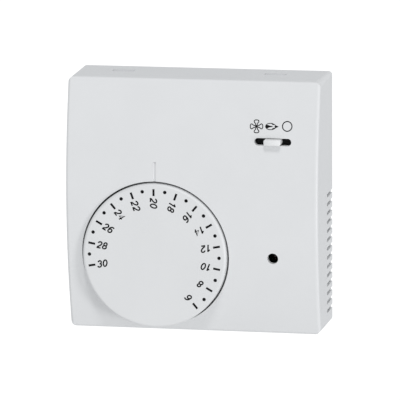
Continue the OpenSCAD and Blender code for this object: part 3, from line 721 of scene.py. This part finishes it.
def make_resistor(bands):
    """A lacquered resistor with four colour bands, on bent leads."""
    low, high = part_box("heater_resistor")
    at = (low + high) / 2
    half = (high.z - low.z) / 2
    r = (high.x - low.x) / 2
    waist = 0.87 * r
    bulge = [(0.0, 0.3 * MM), (0.0, 0.75 * r), (0.5 * MM, 0.95 * r), (1.1 * MM, r), (1.8 * MM, 0.97 * r),
             (2.4 * MM, waist)]
    lower = [(along - half, radius) for along, radius in bulge]
    upper = [(half - along, radius) for along, radius in reversed(bulge)]
    solid = Solid()
    solid.turned(lower + upper, at, (0, 0, 1))
    finished(solid.piece("resistor_body"), "base", "resistor_tan", "heater_resistor")

    band_half, lacquer = 0.3 * MM, 0.03 * MM
    for number, (place_mm, slot) in enumerate(zip((-2.6, -0.9, 0.4, 2.6), bands), 1):
        place = place_mm * MM
        on_a_bulge = abs(place_mm) > 2
        radius = (0.975 * r if on_a_bulge else waist) + lacquer
        inner = radius - 0.2 * MM
        ring = Solid()
        ring.turned([(place - band_half, inner), (place - band_half, radius), (place + band_half, radius),
                     (place + band_half, inner)], at, (0, 0, 1))
        finished(ring.piece(f"resistor_band_{number}"), "base", slot)

    wires = Solid()
    through_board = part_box("circuit_board")[1].y + 1.2 * MM
    bend = 0.6 * MM
    for side in (1, -1):
        reach = side * LEAD_REACH
        wires.tube([
            at + Vector((0, 0, side * (half + 0.1 * MM))),
            at + Vector((0, 0, reach - side * bend)),
            at + Vector((0, bend, reach)),
            Vector((at.x, through_board, at.z + reach)),
        ], 0.3 * MM, sides=12, step=8)
    finished(wires.piece("resistor_leads_bent"), "base", "zinc_steel", "resistor_leads")


def make_filling_tube():
    """The capsule's copper filling tube, pinched shut at its end."""
    low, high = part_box("capsule_front_disc")
    rim = Vector((dial_at.x, high.y - 0.2 * MM, low.z))
    route = [(0.0, -0.65), (0.4, -2.0), (2.4, -2.9), (8.0, -3.6)]
    tube = Solid()
    tube.tube([rim + Vector((x, 0, z)) for x, z in in_metres(route)], 0.55 * MM, sides=16, step=8,
              end_radius=0.36 * MM)
    finished(tube.piece("filling_tube_pinched"), "base", "copper", "filling_tube")


# ---------------------------------------------------------------- circuit board details

def board_pins():
    """Where leads pass through the board."""
    resistor = middle("heater_resistor")
    pins = [(lamp_at.x + side * 1.27 * MM, lamp_at.z) for side in (1, -1)]
    pins += [(resistor.x, resistor.z + side * LEAD_REACH) for side in (1, -1)]
    pins += [(slot_at.x + 2.5 * MM * place, slot_at.z) for place in (-1.5, -0.5, 0.5, 1.5)]
    return pins


def make_tracks(low, high, pins):
    """Copper tracks and pads on both faces of the board."""
    lamp_right, lamp_left, top, bottom, *switch = pins
    wire_pad = (24 * MM, -22 * MM)
    inner_x = low.x + 2.2 * MM

    def off(place, rise_mm):
        return place[0], place[1] + rise_mm * MM

    back = Ink(lambda x, z: high.y, film_mm=-0.05)
    for run in (
        [lamp_left, off(lamp_left, -4), wire_pad],
        [lamp_right, off(lamp_right, 7), (top[0], lamp_right[1] + 9 * MM), bottom],
        [top, off(top, 5), off(switch[0], -4), switch[0]],
        [switch[1], off(switch[1], 5), (inner_x, switch[1][1] + 5 * MM), (inner_x, -17 * MM), wire_pad],
        [switch[3], off(switch[3], -6), (inner_x + 4 * MM, 11 * MM)],
    ):
        back.stroke(run, 0.9 * MM)
    face = Ink(lambda x, z: low.y, film_mm=0.04)
    for x, z in pins + [wire_pad]:
        back.disc(x, z, 1.1 * MM)
        face.disc(x, z, 0.85 * MM)
    for run in (
        [switch[2], off(switch[2], -8), (inner_x + 3 * MM, 8.6 * MM)],
        [(inner_x, 30 * MM), (inner_x, -15 * MM), (22 * MM, -20 * MM)],
    ):
        face.stroke(run, 0.7 * MM)
    finished(back.piece("board_tracks_back"), "base", "copper")
    finished(face.piece("board_tracks_front"), "base", "copper")


def make_solder(board_back, pins):
    """A cone of solder round each lead, behind the board."""
    cone = in_metres([(-0.1, 0), (-0.1, 0.95), (0.15, 0.9), (0.5, 0.55), (0.9, 0.38), (1.25, 0.3),
                      (1.25, 0)])
    cones = Solid()
    for x, z in pins:
        cones.turned(cone, Vector((x, board_back, z)), (0, 1, 0), sides=24)
    finished(cones.piece("solder_joints"), "base", "zinc_steel")


def make_legend(board_face):
    """White outlines round the lamp, the resistor and the switch, with no letters."""
    marks = Ink(lambda x, z: board_face, film_mm=0.03)
    line = 0.2 * MM
    lamp_ring = 2.9 * MM
    marks.stroke(arc(lamp_at.x, lamp_at.z, lamp_ring, lamp_ring, 0, 360, 32)[:-1], line, closed=True)
    for node, margin in (("heater_resistor", 0.7 * MM), ("slide_switch_can", 0.6 * MM)):
        a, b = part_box(node)
        left, right, under, over = a.x - margin, b.x + margin, a.z - margin, b.z + margin
        corners = [(left, under), (right, under), (right, over), (left, over)]
        for i in range(4):
            marks.stroke([corners[i], corners[(i + 1) % 4]], line)
    finished(marks.piece("board_legend"), "base", "base_white")


def make_board_details():
    low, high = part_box("circuit_board")
    pins = board_pins()
    make_tracks(low, high, pins)
    make_solder(high.y, pins)
    make_legend(low.y)


# ---------------------------------------------------------------- put together

def dress_cad_nodes():
    """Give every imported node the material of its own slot."""
    for part in frame["record"]["subparts"]:
        mesh = NODES[part["node"]].data
        mesh.materials.clear()
        mesh.materials.append(MATERIALS[part["material_slot"]])


make_camera()
make_world(0.6)
area_light("front", (-0.5, -4.0, -2.2), 2.4, 21)
area_light("overhead", (0.6, -2.6, 3.6), 0.9, 47)
area_light("side", (3.8, -2.2, -0.6), 0.9, 50)
MATERIALS = make_materials()
make_floor()
dress_cad_nodes()
make_dial_print()
make_cover_print()
make_knob()
make_spring()
make_wires()
make_resistor(("board_brown", "print_black", "red_plastic", "brass"))
make_filling_tube()
make_board_details()
bpy.context.scene.view_settings.view_transform = "Standard"
